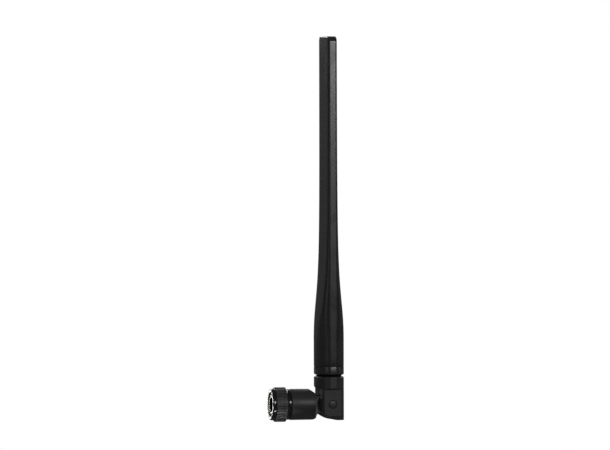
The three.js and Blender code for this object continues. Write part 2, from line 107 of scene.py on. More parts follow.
FOOT_THICK = RADOME_HIGH.x - HINGE.x  # half the thickness at the foot
HALF_WIDTH = RADOME_HIGH.y
TIP = RADOME_HIGH.z
SEAM = RADOME_LOW.z
TIP_THICK = 2.07  # half the thickness at the tip
TIP_ROUND = 0.38  # rounding of the tip's long edges
TIP_CORNER = 2.4  # rounding of the tip's two corners
TIP_ZONE = 3.0  # length of the blade's end that has closely spaced sections
WALL = 1.0
SWELL_MIDDLE = 47.0  # height where the blade is half way from foot to tip in thickness
SWELL_LENGTH = 9.0
SWELL_STRETCH = 0.15  # how much slower the swell fades above its middle than below
STRIP_HALF = 1.15  # half the flat strip along each narrow edge
STRIP_LOSS = 0.25  # what that half loses at the foot
STRIP_FOLLOW = 0.8  # how much of a rounding's draw-in the strip takes too
TIP_SQUARENESS = 14  # power of the section's bulge: 2 is an ellipse, more is squarer
FOOT_SQUARENESS = 2
SPIGOT_INSET = 2.9  # the neck's lower spigot, in from the blade's outline
# Angles, in degrees, that place the section's points between its narrow edge and its broad middle.
# They lie closest together at the edge, where the section turns.
EDGE_ANGLES = [87, 84, 81, 78, 75, 72, 69, 66, 62, 58, 53, 48, 42, 36, 30, 24, 18, 12, 6]
STRIP_SHARES = [0.93, 0.5]  # more points on the strip, as shares of its half

# ---- hinge ----

HOUSING_BOTTOM = HOUSING_LOW.z
HOUSING_TOP = HOUSING_HIGH.z
NECK_INSET = 1.1  # the groove under the neck flange, in from the blade's outline
NECK_CHAMFER = 0.65  # height of the slope on either side of that groove
NECK_FACE = 4.6  # the fork's face above its round, ahead of the hinge
SLOT_HALF = 3.75  # half the width of the tongue's slot
SLOT_REACH = 4.1  # how far it goes behind and above the hinge
CABLE_HOLE = 1.2
CHEEK_FLAT = 8.8  # the recessed flats, out from the middle
FLAT_FOOT = -5.2
FLAT_TOP = 6.9
CHEEK_ROUND = 5.65  # the fork's cheeks on the plug's side, about the hinge
CHEEK_ROUND_END = 235  # degrees, where that round passes into the underside
UNDERSIDE_START = 2.6  # how far behind the hinge the underside turns flat
COUNTERBORE = 1.75  # radius of the recess for a pin's head
COUNTERBORE_FLOOR = 8.1
PIN_HOLE = 1.08
PIN_RADIUS = 1.0
PIN_INNER_END = 1.75
PIN_HEAD_GAP = 0.07
PIN_HEAD_RISE = 0.15
BARREL_BORE = 4.9
TONGUE_HALF = 3.4
TONGUE_RADIUS = 3.6
SADDLE_RADIUS = 7.05  # the barrel's round hollow, about the hinge
SADDLE_DROP = 4.12  # how far below the hinge the hollow reaches
BROW_REACH = 5.6  # how far ahead of the hinge the hollow's upper end is
LIP_REACH = 6.3  # how far ahead of the hinge the lip under the hollow ends
LIP_ROUND = 1.6
COAX_RADIUS = 0.9
COAX_BEND_RADIUS = 3.3
BEYOND_FORK = 12.0  # clear of the fork's outside, for cuts
BEYOND_BARREL = 9.0  # clear of the barrel's outside, for cuts

# ---- connector ----

KNURL_RADIUS = NUT_HIGH.z
COLLAR_RADIUS = 6.9
KNURL_RIBS = 45
KNURL_DEPTH = 0.34
KNURL_FACETS = 14  # facets to one rib
KNURL_FLANK = 4.6  # steepness of a rib's flanks
KNURL_PEAK = 1.75  # where the flanks would meet, if the rib weren't flat at a height of 1
NUT_BORE = 6.0
COVE_END = 6.64
THREAD_MAJOR = 5.55
THREAD_MINOR = 5.15
THREAD_PITCH = 0.907  # 28 turns to the inch
THREAD_START = 0.55
THREAD_END = 5.4
THREAD_FLANK = 2.6  # steepness of the thread's flanks
THREAD_ROOT = 0.35  # how much of that climb lies under the flat root
THREAD_CREST = 1.6  # how much more of it there is up to the flat crest
RELIEF_END = 7.5  # end of the plain bore behind the thread
SHOULDER_BORE = 4.7
BORE_SHADE = 3.58  # painted shade: the outer contact is painted dark inside this radius

# ---- stage and camera ----

FLOOR_GAP = 162.0  # under the object's lowest point, so that the blade clears it when swung down
FLOOR_RADIUS = 450.0
FLOOR_SIDES = 120
ROOM_GLOW = 0.072  # brightness of the room in reflections and shade
CAMERA_AZIMUTH = -11.7  # degrees, as are the next two
CAMERA_ELEVATION = 1.1
CAMERA_ROLL = -0.16
CAMERA_DISTANCE = 5000.0
CAMERA_NEAR, CAMERA_FAR = 0.01, 50  # metres
VIEW_WIDTH = 268.1  # width of the view at the object, in millimetres
VIEW_OFFSET = (-10.5, 78.7)  # the view's centre from the hinge axis, across and up
SENSOR = 36.0  # width of the camera's sensor, in millimetres

# ---- how finely shapes are made ----

AXIS_HOLE = 0.004  # a turned solid keeps a hair-thin bore, so that its outline stays closed
CUTTER_FACETS = 96
MOULD_VOXEL = 0.13  # grid size for resurfacing a carved solid
MOULD_EASING = 4  # rounds of smoothing after it


# ======== mesh tools ========


def new_piece(name, points, faces):
    """A mesh object from points in millimetres."""
    mesh = bpy.data.meshes.new(name)
    mesh.from_pydata([Vector(p) * MM for p in points], [], faces)
    mesh.update()
    piece = bpy.data.objects.new(name, mesh)
    bpy.context.scene.collection.objects.link(piece)
    return piece


def outward(piece):
    """Turns every face outwards."""
    work = bmesh.new()
    work.from_mesh(piece.data)
    bmesh.ops.recalc_face_normals(work, faces=work.faces)
    work.to_mesh(piece.data)
    work.free()


def sharp_where_steep(piece, degrees):
    """Smooth shading with hard edges where two faces meet at more than this angle."""
    for polygon in piece.data.polygons:
        polygon.use_smooth = True
    piece.data.set_sharp_from_angle(angle=math.radians(degrees))


def lofted(name, rings, closed=False):
    """Skins a list of equal rings of points. Open lofts get a flat cap at each end."""
    count = len(rings[0])
    points = [point for row in rings for point in row]
    faces = []
    rows = len(rings) if closed else len(rings) - 1
    for i in range(rows):
        here = i * count
        there = (i + 1) % len(rings) * count
        for j in range(count):
            k = (j + 1) % count
            faces.append((here + j, here + k, there + k, there + j))
    if not closed:
        faces.append(tuple(reversed(range(count))))
        faces.append(tuple(range((len(rings) - 1) * count, len(rings) * count)))
    piece = new_piece(name, points, faces)
    outward(piece)
    return piece


def eased(profile, radius, steps=4):
    """Rounds each corner of a closed outline by up to radius."""
    result = []
    count = len(profile)
    for i in range(count):
        before, here, after = (Vector(profile[(i + k) % count]) for k in (-1, 0, 1))
        back, ahead = before - here, after - here
        reach = min(radius, 0.45 * back.length, 0.45 * ahead.length)
        start = here + back.normalized() * reach
        end = here + ahead.normalized() * reach
        for step in range(steps + 1):
            t = step / steps
            result.append((1 - t) ** 2 * start + 2 * t * (1 - t) * here + t * t * end)
    return result


def turned(name, profile, facets=128, axis="X", centre=(0, 0, 0)):
    """A closed outline of (along, radius) points turned about X, Y or Z through centre."""
    rings = []
    for j in range(facets):
        angle = 2 * math.pi * j / facets
        side, up = math.cos(angle), math.sin(angle)
        row = []
        for along, radius in profile:
            place = {
                "X": (along, radius * side, radius * up),
                "Y": (radius * side, along, radius * up),
                "Z": (radius * side, radius * up, along),
            }[axis]
            row.append(Vector(place) + Vector(centre))
        rings.append(row)
    return lofted(name, rings, closed=True)


def cutter_rod(axis, centre, x0, x1, radius):
    """A closed cylinder for a boolean change."""
    rings = []
    for along in (x0, x1):
        row = []
        for j in range(CUTTER_FACETS):
            angle = 2 * math.pi * j / CUTTER_FACETS
            side, up = radius * math.cos(angle), radius * math.sin(angle)
            place = {"X": (along, side, up), "Y": (side, along, up), "Z": (side, up, along)}[axis]
            row.append(Vector(place) + Vector(centre))
        rings.append(row)
    return lofted("cutter", rings)


def block(low, high):
    """A box between two opposite corners, for a boolean change."""
    corners = [(low[0], low[1]), (high[0], low[1]), (high[0], high[1]), (low[0], high[1])]
    return lofted("cutter", [[(x, y, z) for x, y in corners] for z in (low[2], high[2])])


def slab(outline, half):
    """An outline of (x, z) points extruded along Y from -half to +half."""
    return lofted("cutter", [[(x, y, z) for x, z in outline] for y in (-half, half)])


def arc(centre, radius, start, end, steps=24):
    """Points on an arc, angles in degrees."""
    points = []
    for i in range(steps + 1):
        angle = math.radians(start + (end - start) * i / steps)
        points.append((centre[0] + radius * math.cos(angle), centre[1] + radius * math.sin(angle)))
    return points


def curve(start, bend, end, steps):
    """Points on a curve from start to end that heads for bend, without its start."""
    points = []
    for i in range(1, steps + 1):
        t = i / steps
        points.append(tuple(
            (1 - t) ** 2 * a + 2 * t * (1 - t) * b + t * t * c for a, b, c in zip(start, bend, end)
        ))
    return points


def carved(name, base, changes):
    """Joins and cuts a solid, then resurfaces it so that its moulded edges come out softly rounded."""
    for operation, tool in changes:
        change = base.modifiers.new("change", "BOOLEAN")
        change.operation = operation
        change.solver = "EXACT"
        change.object = tool
    skin = base.modifiers.new("skin", "REMESH")
    skin.mode = "VOXEL"
    skin.voxel_size = MOULD_VOXEL * MM
    ease = base.modifiers.new("ease", "SMOOTH")
    ease.factor = 0.5
    ease.iterations = MOULD_EASING
    graph = bpy.context.evaluated_depsgraph_get()
    mesh = bpy.data.meshes.new_from_object(base.evaluated_get(graph))
    mesh.name = name
    for leftover in [base] + [tool for _, tool in changes]:
        bpy.data.objects.remove(leftover)
    for polygon in mesh.polygons:
        polygon.use_smooth = True
    piece = bpy.data.objects.new(name, mesh)
    bpy.context.scene.collection.objects.link(piece)
    return piece


def dress(piece, body, slot, material, *nodes):
    """Gives a finished piece its material, its body and the nodes that it stands for."""
    piece.data.materials.clear()
    piece.data.materials.append(material)
    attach(piece, body)
    if nodes:
        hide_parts(*nodes)


def second_material(piece, material, chosen):
    """Gives another material to the faces whose middle, in millimetres, passes the test."""
    piece.data.materials.append(material)
    for polygon in piece.data.polygons:
        polygon.material_index = int(chosen(polygon.center / MM))


# ======== materials ========


class Graph:
    """Short names for building one material's nodes."""

    def __init__(self, name):
        self.material = bpy.data.materials.new(name)
        self.material.use_nodes = True
        self.tree = self.material.node_tree
        self.shader = self.tree.nodes["Principled BSDF"]
        self.place = self.tree.nodes.new("ShaderNodeTexCoord").outputs["Object"]

    def link(self, source, socket):
        self.tree.links.new(source, socket)

    def stretched(self, scale):
        """Object coordinates stretched by a factor along each axis."""
        mapping = self.tree.nodes.new("ShaderNodeMapping")
        mapping.inputs["Scale"].default_value = scale
        self.link(self.place, mapping.inputs["Vector"])
        return mapping.outputs["Vector"]

    def noise(self, scale, detail=3.0, roughness=0.5, vector=None):
        node = self.tree.nodes.new("ShaderNodeTexNoise")
        node.inputs["Scale"].default_value = scale
        node.inputs["Detail"].default_value = detail
        node.inputs["Roughness"].default_value = roughness
        self.link(vector or self.place, node.inputs["Vector"])
        return node.outputs["Fac"]

    def spread(self, source, low, high, start=0.3, end=0.7):
        """Maps a 0 to 1 pattern to a range."""
        node = self.tree.nodes.new("ShaderNodeMapRange")
        node.inputs["From Min"].default_value = start
        node.inputs["From Max"].default_value = end
        node.inputs["To Min"].default_value = low
        node.inputs["To Max"].default_value = high
        self.link(source, node.inputs["Value"])
        return node.outputs["Result"]

    def blend(self, source, low, high):
        """Maps a pattern to a colour between two colours."""
        node = self.tree.nodes.new("ShaderNodeValToRGB")
        node.color_ramp.elements[0].position = 0.3
        node.color_ramp.elements[0].color = (*low, 1)
        node.color_ramp.elements[1].position = 0.7
        node.color_ramp.elements[1].color = (*high, 1)
        self.link(source, node.inputs["Fac"])
        return node.outputs["Color"]

    def bump(self, source, height_mm, strength=1.0, under=None):
        node = self.tree.nodes.new("ShaderNodeBump")
        node.inputs["Strength"].default_value = strength
        node.inputs["Distance"].default_value = height_mm * MM
        self.link(source, node.inputs["Height"])
        if under:
            self.link(under, node.inputs["Normal"])
        return node.outputs["Normal"]


def moulded_plastic(name, low, high, roughness, grain_mm, grain_height):
    """Black moulded plastic: fine spark-eroded grain over slow flow marks, with shinier rubbed spots."""
    graph = Graph(name)
    flow = graph.noise(60, 3, 0.55, graph.stretched((1.4, 1.4, 0.35)))
    grain = graph.noise(1 / (grain_mm * MM), 2, 0.6)
    graph.link(graph.blend(flow, low, high), graph.shader.inputs["Base Color"])
    rubbed = graph.noise(140, 4, 0.6)
    spread = graph.spread(rubbed, roughness - 0.05, roughness + 0.06)
    graph.link(spread, graph.shader.inputs["Roughness"])
    waves = graph.bump(flow, 0.02, 0.5)
    graph.link(graph.bump(grain, grain_height, 0.6, waves), graph.shader.inputs["Normal"])
    graph.shader.inputs["IOR"].default_value = 1.53
    graph.shader.inputs["Specular IOR Level"].default_value = 0.5
    return graph.material


def metal(name, low, high, roughness, lathe_marks=0.0, scale=400):
    """Plated or bare metal. lathe_marks adds fine turning rings along X, in millimetres of height."""
    graph = Graph(name)
    cloud = graph.noise(scale, 4, 0.6)
    graph.link(graph.blend(cloud, low, high), graph.shader.inputs["Base Color"])
    spread = graph.spread(cloud, roughness - 0.06, roughness + 0.08)
    graph.link(spread, graph.shader.inputs["Roughness"])
    graph.shader.inputs["Metallic"].default_value = 1.0
    surface = graph.bump(graph.noise(9000, 2), 0.003, 0.5)
    if lathe_marks:
        rings = graph.noise(1, 2, 0.5, graph.stretched((9000, 150, 150)))
        surface = graph.bump(rings, lathe_marks, 0.6, surface)
    graph.link(surface, graph.shader.inputs["Normal"])
    return graph.material


def soft_solid(name, low, high, roughness, scale, height_mm, subsurface=0.0):
    """Rubber, foam, PTFE and cable jackets: mottled colour over a fine uneven surface."""
    graph = Graph(name)
    mottle = graph.noise(scale, 4, 0.6)
    graph.link(graph.blend(mottle, low, high), graph.shader.inputs["Base Color"])
    spread = graph.spread(mottle, roughness - 0.07, roughness + 0.07)
    graph.link(spread, graph.shader.inputs["Roughness"])
    graph.link(graph.bump(graph.noise(scale * 6, 3), height_mm, 0.7), graph.shader.inputs["Normal"])
    if subsurface:
        graph.shader.inputs["Subsurface Weight"].default_value = subsurface
        graph.shader.inputs["Subsurface Radius"].default_value = (0.0006, 0.0005, 0.0004)
    return graph.material


BLACK_SATIN = moulded_plastic(
    "black_satin", (0.0075, 0.0075, 0.008), (0.0105, 0.0105, 0.011), 0.28, 0.11, 0.004)
BLACK_MATTE = moulded_plastic(
    "black_matte", (0.0085, 0.0085, 0.009), (0.0115, 0.0115, 0.012), 0.43, 0.11, 0.008)
# Rougher black for the grip ribs. Its lighter colour is painted sheen where the ribs catch light.
ROUGH_RIBS_PAINTED_SHEEN = moulded_plastic(
    "rough_ribs_painted_sheen", (0.014, 0.014, 0.0145), (0.018, 0.018, 0.0185), 0.36, 0.11, 0.006)
# Painted light: a lighter black for the tongue's sides, standing in for light on faces that lie in shade
# in the fork's slot.
TONGUE_PAINTED_LIGHT = moulded_plastic(
    "tongue_painted_light", (0.06, 0.06, 0.061), (0.08, 0.08, 0.081), 0.4, 0.11, 0.004)
BLACK_GLOSS = moulded_plastic(
    "black_gloss", (0.004, 0.004, 0.0043), (0.005, 0.005, 0.0053), 0.16, 0.3, 0.001)
# Painted shade: dark metal for the inside of the outer contact's bore.
BORE_PAINTED_SHADE = metal("bore_painted_shade", (0.03, 0.029, 0.027), (0.045, 0.043, 0.04), 0.5, 0.002)
NICKEL = metal("nickel_plate", (0.60, 0.57, 0.52), (0.68, 0.66, 0.61), 0.3, 0.0012)
GOLD = metal("gold_plate", (0.78, 0.53, 0.20), (0.86, 0.62, 0.28), 0.24, 0.002)
STEEL = metal("spring_steel", (0.36, 0.36, 0.37), (0.46, 0.46, 0.47), 0.33, 0.002)
COPPER = metal("copper_foil", (0.62, 0.28, 0.14), (0.74, 0.38, 0.20), 0.32, 0.0, 900)
SOLDER = metal("tin_solder", (0.50, 0.50, 0.50), (0.62, 0.62, 0.61), 0.36, 0.0, 1500)
PTFE = soft_solid("ptfe", (0.78, 0.76, 0.71), (0.84, 0.83, 0.79), 0.48, 700, 0.01, 0.25)
RUBBER = soft_solid("rubber", (0.018, 0.017, 0.016), (0.028, 0.026, 0.025), 0.72, 900, 0.012)
FOAM = soft_solid("foam", (0.05, 0.05, 0.053), (0.1, 0.1, 0.105), 0.92, 1600, 0.08)
BOARD = soft_solid("board", (0.018, 0.07, 0.028), (0.026, 0.095, 0.04), 0.42, 1200, 0.006)
CABLE = soft_solid("cable_jacket", (0.13, 0.05, 0.02), (0.19, 0.075, 0.03), 0.34, 500, 0.01, 0.1)


# ======== blade ========


def swell(z):
    """How far the thickness has swelled at height z: near 0 at the tip and near 1 at the foot."""
    above = z - SWELL_MIDDLE
    return 1 / (1 + math.exp(above / (SWELL_LENGTH + SWELL_STRETCH * above)))


def corner_inset(z, radius):
    """How far a corner of this radius draws the section in at height z."""
    into = min(radius, max(0.0, z - (TIP - radius)))
    return radius - math.sqrt(radius * radius - into * into)


def section_outline(thick, wide, strip, squareness):
    """The section as (x, y) points: a flat strip on each narrow edge and a bulge between them."""
    quarter = [(strip * share, wide) for share in reversed(STRIP_SHARES)]
    quarter.append((strip, wide))
    for degrees in EDGE_ANGLES:
        across = math.sin(math.radians(degrees))
        half = strip + (thick - strip) * math.sqrt(1 - across ** squareness)
        quarter.append((half, wide * across))
    far_right = [(0.0, wide)] + quarter + [(thick, 0.0)]
    near_right = [(x, -y) for x, y in reversed(quarter)] + [(0.0, -wide)]
    near_left = [(-x, -y) for x, y in quarter] + [(-thick, 0.0)]
    far_left = [(-x, y) for x, y in reversed(quarter)]
    return far_right + near_right + near_left + far_left


def blade_ring(z, inset=0.0, thick_inset=0.0, wide_inset=0.0):
    """The blade's section at height z, drawn in all round, in thickness or in width."""
    foot = swell(z)
    thick = TIP_THICK + (FOOT_THICK - TIP_THICK) * foot - inset - thick_inset
    wide = HALF_WIDTH - inset - wide_inset
    strip = max(0.1, STRIP_HALF - STRIP_LOSS * foot - inset - STRIP_FOLLOW * thick_inset)
    squareness = TIP_SQUARENESS - (TIP_SQUARENESS - FOOT_SQUARENESS) * foot
    outline = section_outline(thick, wide, strip, squareness)
    return [(HINGE.x + x, y, z) for x, y in outline]


def spaced(start, end, count):
    """The ends of count even steps from start to end, with start itself."""
    return [start + (end - start) * i / count for i in range(count + 1)]


def radome():
    """A thin moulded cover: inside from the top down to the open foot, then outside up to the tip."""
    inside = [blade_ring(z, WALL) for z in reversed(spaced(SEAM, TIP - TIP_ZONE, 40))]
    foot_edge = [blade_ring(SEAM, 0.12), blade_ring(SEAM + 0.04, 0.03)]
    heights = spaced(SEAM + 0.14, TIP - TIP_ZONE, 72)
    below_tip = (2.7, 2.4, 2.2, 1.95, 1.7, 1.3, 1.0, 0.8, 0.6, 0.42, 0.27, 0.15, 0.06, 0)
    heights += [TIP - depth for depth in below_tip]
    outside = [
        blade_ring(z, 0, corner_inset(z, TIP_ROUND), corner_inset(z, TIP_CORNER)) for z in heights
    ]
    piece = lofted("radome_cover", inside + foot_edge + outside)
    sharp_where_steep(piece, 50)
    dress(piece, "antenna", "black_satin", BLACK_SATIN, "radome_shell")


def neck():
    """The flange between the groove and the seam, with its spigots inside the radome and the housing."""
    low, high = NECK_LOW.z, NECK_HIGH.z
    groove = HOUSING_TOP + 0.1
    bottom = [blade_ring(low, SPIGOT_INSET), blade_ring(groove, SPIGOT_INSET)]
    flange = [
        blade_ring(groove, NECK_INSET + 0.1), blade_ring(groove + 0.04, NECK_INSET - 0.02),
        blade_ring(groove + NECK_CHAMFER - 0.1, 0.08), blade_ring(groove + NECK_CHAMFER, 0.01),
        blade_ring(groove + NECK_CHAMFER + 0.15, 0), blade_ring(SEAM - 0.3, 0),
        blade_ring(SEAM - 0.18, 0.03), blade_ring(SEAM - 0.12, 0.12),
    ]
    top = [blade_ring(SEAM - 0.12, WALL + 0.3), blade_ring(high, WALL + 0.3)]
    piece = lofted("neck_flange", bottom + flange + top)
    sharp_where_steep(piece, 40)
    dress(piece, "antenna", "black_satin", BLACK_SATIN, "neck_plug")


# ======== hinge ========


def cheek_recess(cheek):
    """What is cut from the outside of a cheek: a flat under a ledge, turned under at the foot."""
    foot = HOUSING_BOTTOM
    step = (CHEEK_FLAT - 0.15, FLAT_FOOT)
    turned_under = (7.4, foot)
    outline = [(BEYOND_FORK, FLAT_TOP), (CHEEK_FLAT, FLAT_TOP), (CHEEK_FLAT, FLAT_FOOT), step]
    outline += curve(step, (8.55, foot + 0.1), turned_under, 8)
    outline += [(turned_under[0], foot - 1), (BEYOND_FORK, foot - 1)]
    return lofted("cutter", [
        [(x, cheek * y, z) for y, z in outline] for x in (HINGE.x - 7, HINGE.x + 7)
    ])


def housing():
    """The forked foot: an oval block with a slot for the tongue and a recessed flat on each cheek."""
    x = HINGE.x
    foot = HOUSING_BOTTOM
    levels = [(foot, 0), (HOUSING_TOP - NECK_CHAMFER, 0), (HOUSING_TOP, NECK_INSET)]
    base = lofted("housing", [
        [(px, py, z) for px, py, _ in blade_ring(foot, inset)] for z, inset in levels
    ])
    neck_turn = math.degrees(math.acos(NECK_FACE / CHEEK_ROUND))
    side = [
        (x + 5.7, foot), (x + 6.9, foot + 1.2), (x + 9, HOUSING_TOP + 1), (x - 9, HOUSING_TOP + 1),
        (x - 9, 9.77), (x - FOOT_THICK, 8.4), (x - NECK_FACE, 7),
    ]
    side += arc((x, 0), CHEEK_ROUND, 180 - neck_turn, CHEEK_ROUND_END, 36)
    side += curve(side[-1], (x, foot), (x + UNDERSIDE_START, foot), 10)
    slot = block((x - 9, -SLOT_HALF, foot - 1), (x + SLOT_REACH, SLOT_HALF, SLOT_REACH))
    back_notch = block((x + 3, -SLOT_HALF, foot - 1), (x + 9, SLOT_HALF, foot + 1.35))
    cable_way = cutter_rod("Z", (x, 0, 0), 3, HOUSING_TOP + 1, CABLE_HOLE)
    changes = [("INTERSECT", slab(side, BEYOND_FORK))]
    changes += [("DIFFERENCE", cutter) for cutter in (slot, back_notch, cable_way)]
    for cheek in (-1, 1):
        floor, outer = cheek * COUNTERBORE_FLOOR, cheek * BEYOND_FORK
        counterbore = cutter_rod("Y", (x, 0, 0), min(floor, outer), max(floor, outer), COUNTERBORE)
        pin_hole = cutter_rod("Y", (x, 0, 0), min(floor, 0), max(floor, 0), PIN_HOLE)
        changes += [("DIFFERENCE", cutter) for cutter in (cheek_recess(cheek), counterbore, pin_hole)]
    piece = carved("hinge_fork", base, changes)
    dress(piece, "antenna", "black_satin", BLACK_MATTE, "hinge_housing")


def hinge_pins():
    """Stub pins with shallow domed heads in the counterbores."""
    head = COUNTERBORE - PIN_HEAD_GAP
    seat = COUNTERBORE_FLOOR + 0.05
    crown = PIN_HIGH.y
    steps = 8
    for cheek, node in ((-1, "hinge_pin_near"), (1, "hinge_pin_far")):
        profile = [
            (PIN_INNER_END, AXIS_HOLE), (PIN_INNER_END, PIN_RADIUS - 0.1),
            (PIN_INNER_END + 0.1, PIN_RADIUS), (seat, PIN_RADIUS), (seat, head),
        ]
        for step in range(steps + 1):
            reach = 1 - step / steps
            profile.append((crown - PIN_HEAD_RISE * reach ** 2, max(head * reach, AXIS_HOLE)))
        piece = turned(node + "_dome", [(cheek * y, r) for y, r in profile], 64, "Y", HINGE)
        sharp_where_steep(piece, 40)
        dress(piece, "antenna", "black_satin", BLACK_MATTE, node)


def knuckle():
    """The swivel barrel, hollowed round the hinge, with the tongue that stands in the fork's slot."""
    x = HINGE.x
    start = KNUCKLE_LOW.x
    low = KNUCKLE_LOW.z
    barrel = [  # (along, radius): front edge, outside, then the stepped bore back to the front
        (start, 6.3), (start + 0.08, 6.58), (start + 0.22, 6.76), (start + 0.45, -low),
        (x - 5, -low - 0.1), (x - 5, 4.0), (19.8, 4.0), (19.8, 3.2), (16.2, 3.2), (16.2, BARREL_BORE),
        (start, BARREL_BORE),
    ]
    base = turned("barrel", barrel, 160)
    lip = x - LIP_REACH
    outline = [(start - 1, low - 1), (lip - LIP_ROUND - 3, low - 0.4)]
    outline += arc((lip - LIP_ROUND, low + 0.06 + LIP_ROUND), LIP_ROUND, -90, 0, 10)
    lower = math.degrees(math.asin(SADDLE_DROP / SADDLE_RADIUS))
    upper = math.degrees(math.acos(BROW_REACH / SADDLE_RADIUS))
    outline += arc((x, 0), SADDLE_RADIUS, 180 + lower, 180 - upper, 24)
    outline += [(x - 6.4, 4.5), (x - 9.3, 6.8), (x - 9.8, 8), (start - 1, 8)]
    changes = [("INTERSECT", slab(outline, BEYOND_BARREL))]
    for side in (-1, 1):
        inner, outer = side * TONGUE_HALF, side * BEYOND_BARREL
        beside_tongue = block(
            (x - SADDLE_RADIUS, min(inner, outer), -BEYOND_BARREL), (x, max(inner, outer), 0))
        changes.append(("DIFFERENCE", beside_tongue))
    tongue = block((x - 8, -TONGUE_HALF, -TONGUE_RADIUS), (x, TONGUE_HALF, TONGUE_RADIUS))
    tongue_end = cutter_rod("Y", (x, 0, 0), -TONGUE_HALF, TONGUE_HALF, TONGUE_RADIUS)
    cable_slot = block((21.2, -1.4, -1.3), (x + 5, 1.4, 5))
    cable_way = cutter_rod("X", (0, 0, 0), 17, 22, CABLE_HOLE)
    pin_hole = cutter_rod("Y", (x, 0, 0), -5, 5, PIN_HOLE)
    changes += [("UNION", joined) for joined in (tongue, tongue_end)]
    changes += [("DIFFERENCE", cutter) for cutter in (cable_slot, cable_way, pin_hole)]
    piece = carved("swivel_knuckle", base, changes)
    dress(piece, "knuckle", "black_satin", BLACK_MATTE, "knuckle_body")

    # The tongue's sides take the lighter black as painted light on faces that lie in shade in the slot.
    def on_tongue_side(middle):
        return middle.x > x - SADDLE_RADIUS and abs(abs(middle.y) - TONGUE_HALF) < 0.1

    second_material(piece, TONGUE_PAINTED_LIGHT, on_tongue_side)


def coax_across_hinge():
    """The cable where it bends through the hinge, from the knuckle at one end to the fork at the other."""
    radius = COAX_BEND_RADIUS
    corner = HINGE.x - radius
    route = [(BEND_LOW.x, 0.0)] + [(BEND_LOW.x + 0.25 * i, 0.0) for i in range(1, 4)]
    route += [(corner + radius * math.sin(math.radians(a)), radius - radius * math.cos(math.radians(a)))
              for a in range(0, 91, 6)]
    route += [(HINGE.x, radius + 0.3 * i) for i in range(1, 5)]
    rings = []
    for i, (x, z) in enumerate(route):
        before, after = route[max(i - 1, 0)], route[min(i + 1, len(route) - 1)]
        ahead = Vector((after[0] - before[0], 0, after[1] - before[1])).normalized()
        across = Vector((0, 1, 0))
        up = ahead.cross(across)
        middle = Vector((x, 0, z))
        rings.append([
            middle + COAX_RADIUS * (across * math.cos(math.radians(a)) + up * math.sin(math.radians(a)))
            for a in range(0, 360, 10)
        ])
    piece = lofted("coax_across_hinge", rings)
    sharp_where_steep(piece, 60)
    piece.data.materials.append(CABLE)
    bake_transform(piece)
    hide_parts("coax_bend")


# ======== connector ========


def coupling_nut():
    """The grip ring: a plain front collar, straight ribs, and a glossy cove behind them."""
    end = NUT_HIGH.x
    longest_step = 0.35
    outside = [  # (along, radius): front edge, collar, shoulder, ribs, then the cove
        (0, NUT_BORE + 0.1), (0, 6.38), (0.05, 6.56), (0.12, 6.73), (0.22, 6.84), (0.32, COLLAR_RADIUS),
        (1.38, COLLAR_RADIUS), (1.48, 6.93), (1.58, 7.05), (1.68, 7.24), (1.76, 7.45), (1.86, 7.58),
        (1.96, KNURL_RADIUS), (6.42, KNURL_RADIUS), (6.5, 7.56), (6.56, 7.42), (6.6, 7.26), (6.66, 7.08),
        (6.76, 6.94), (6.92, 6.83), (7.15, 6.76), (7.4, 6.73), (7.7, 6.72), (end - 0.08, 6.72),
        (end, COVE_END),
    ]
    stations = []
    for (xa, ra), (xb, rb) in zip(outside, outside[1:]):
        steps = max(1, math.ceil((xb - xa) / longest_step))
        stations += [(xa + (xb - xa) * i / steps, ra + (rb - ra) * i / steps) for i in range(steps)]
    stations += [(end, COVE_END), (end, NUT_BORE + 0.06), (end - 0.06, NUT_BORE), (0.06, NUT_BORE)]
    facets = KNURL_RIBS * KNURL_FACETS
    rings = []
    for j in range(facets):
        turn = j / KNURL_FACETS % 1
        ridge = min(1.0, max(0.0, KNURL_PEAK - KNURL_FLANK * abs(turn - 0.5)))
        crest = ridge * ridge * (3 - 2 * ridge)
        rib = KNURL_RADIUS - KNURL_DEPTH * (1 - crest)
        angle = 2 * math.pi * j / facets
        rings.append([
            (x, min(r, rib) * math.cos(angle), min(r, rib) * math.sin(angle)) for x, r in stations
        ])
    piece = lofted("grip_ring", rings, closed=True)
    sharp_where_steep(piece, 35)
    dress(piece, "coupling", "black_gloss", BLACK_GLOSS, "coupling_nut_shell")

    # The ribs take the rougher black, whose lighter colour is painted sheen.
    def on_ribs(middle):
        return 1.7 < middle.x < 6.6 and math.hypot(middle.y, middle.z) > COLLAR_RADIUS

    second_material(piece, ROUGH_RIBS_PAINTED_SHEEN, on_ribs)


def thread_insert():
    """The metal nut, with a true helical thread that runs out at both ends."""
    start, end = THREAD_START, THREAD_END
    steps = 110
    facets = 120
    rings = []
    for j in range(facets):
        turn = j / facets
        row = []
        for i in range(steps + 1):
            x = start + (end - start) * i / steps
            phase = (x / THREAD_PITCH + turn) % 1
            climb = THREAD_FLANK * (1 - 2 * abs(phase - 0.5))
            ridge = min(1.0, max(0.0, climb - THREAD_ROOT) / THREAD_CREST)
            fade = min(1.0, (x - start) / 0.5, (end - x) / 0.6)
            row.append((x, THREAD_MAJOR - (THREAD_MAJOR - THREAD_MINOR) * ridge * max(fade, 0)))
        row += [(RELIEF_END, THREAD_MAJOR), (RELIEF_END, SHOULDER_BORE)]
        row += [(INSERT_HIGH.x, SHOULDER_BORE), (INSERT_HIGH.x, INSERT_HIGH.z)]
        row += [(INSERT_LOW.x + 0.06, INSERT_HIGH.z), (INSERT_LOW.x, INSERT_HIGH.z - 0.06)]
        row += [(INSERT_LOW.x, THREAD_MAJOR + 0.12), (INSERT_LOW.x + 0.14, THREAD_MAJOR)]
        angle = 2 * math.pi * turn
        rings.append([(x, r * math.cos(angle), r * math.sin(angle)) for x, r in row])
    piece = lofted("threaded_nut", rings, closed=True)
    sharp_where_steep(piece, 32)
    dress(piece, "coupling", "nickel", NICKEL, "coupling_thread_insert")


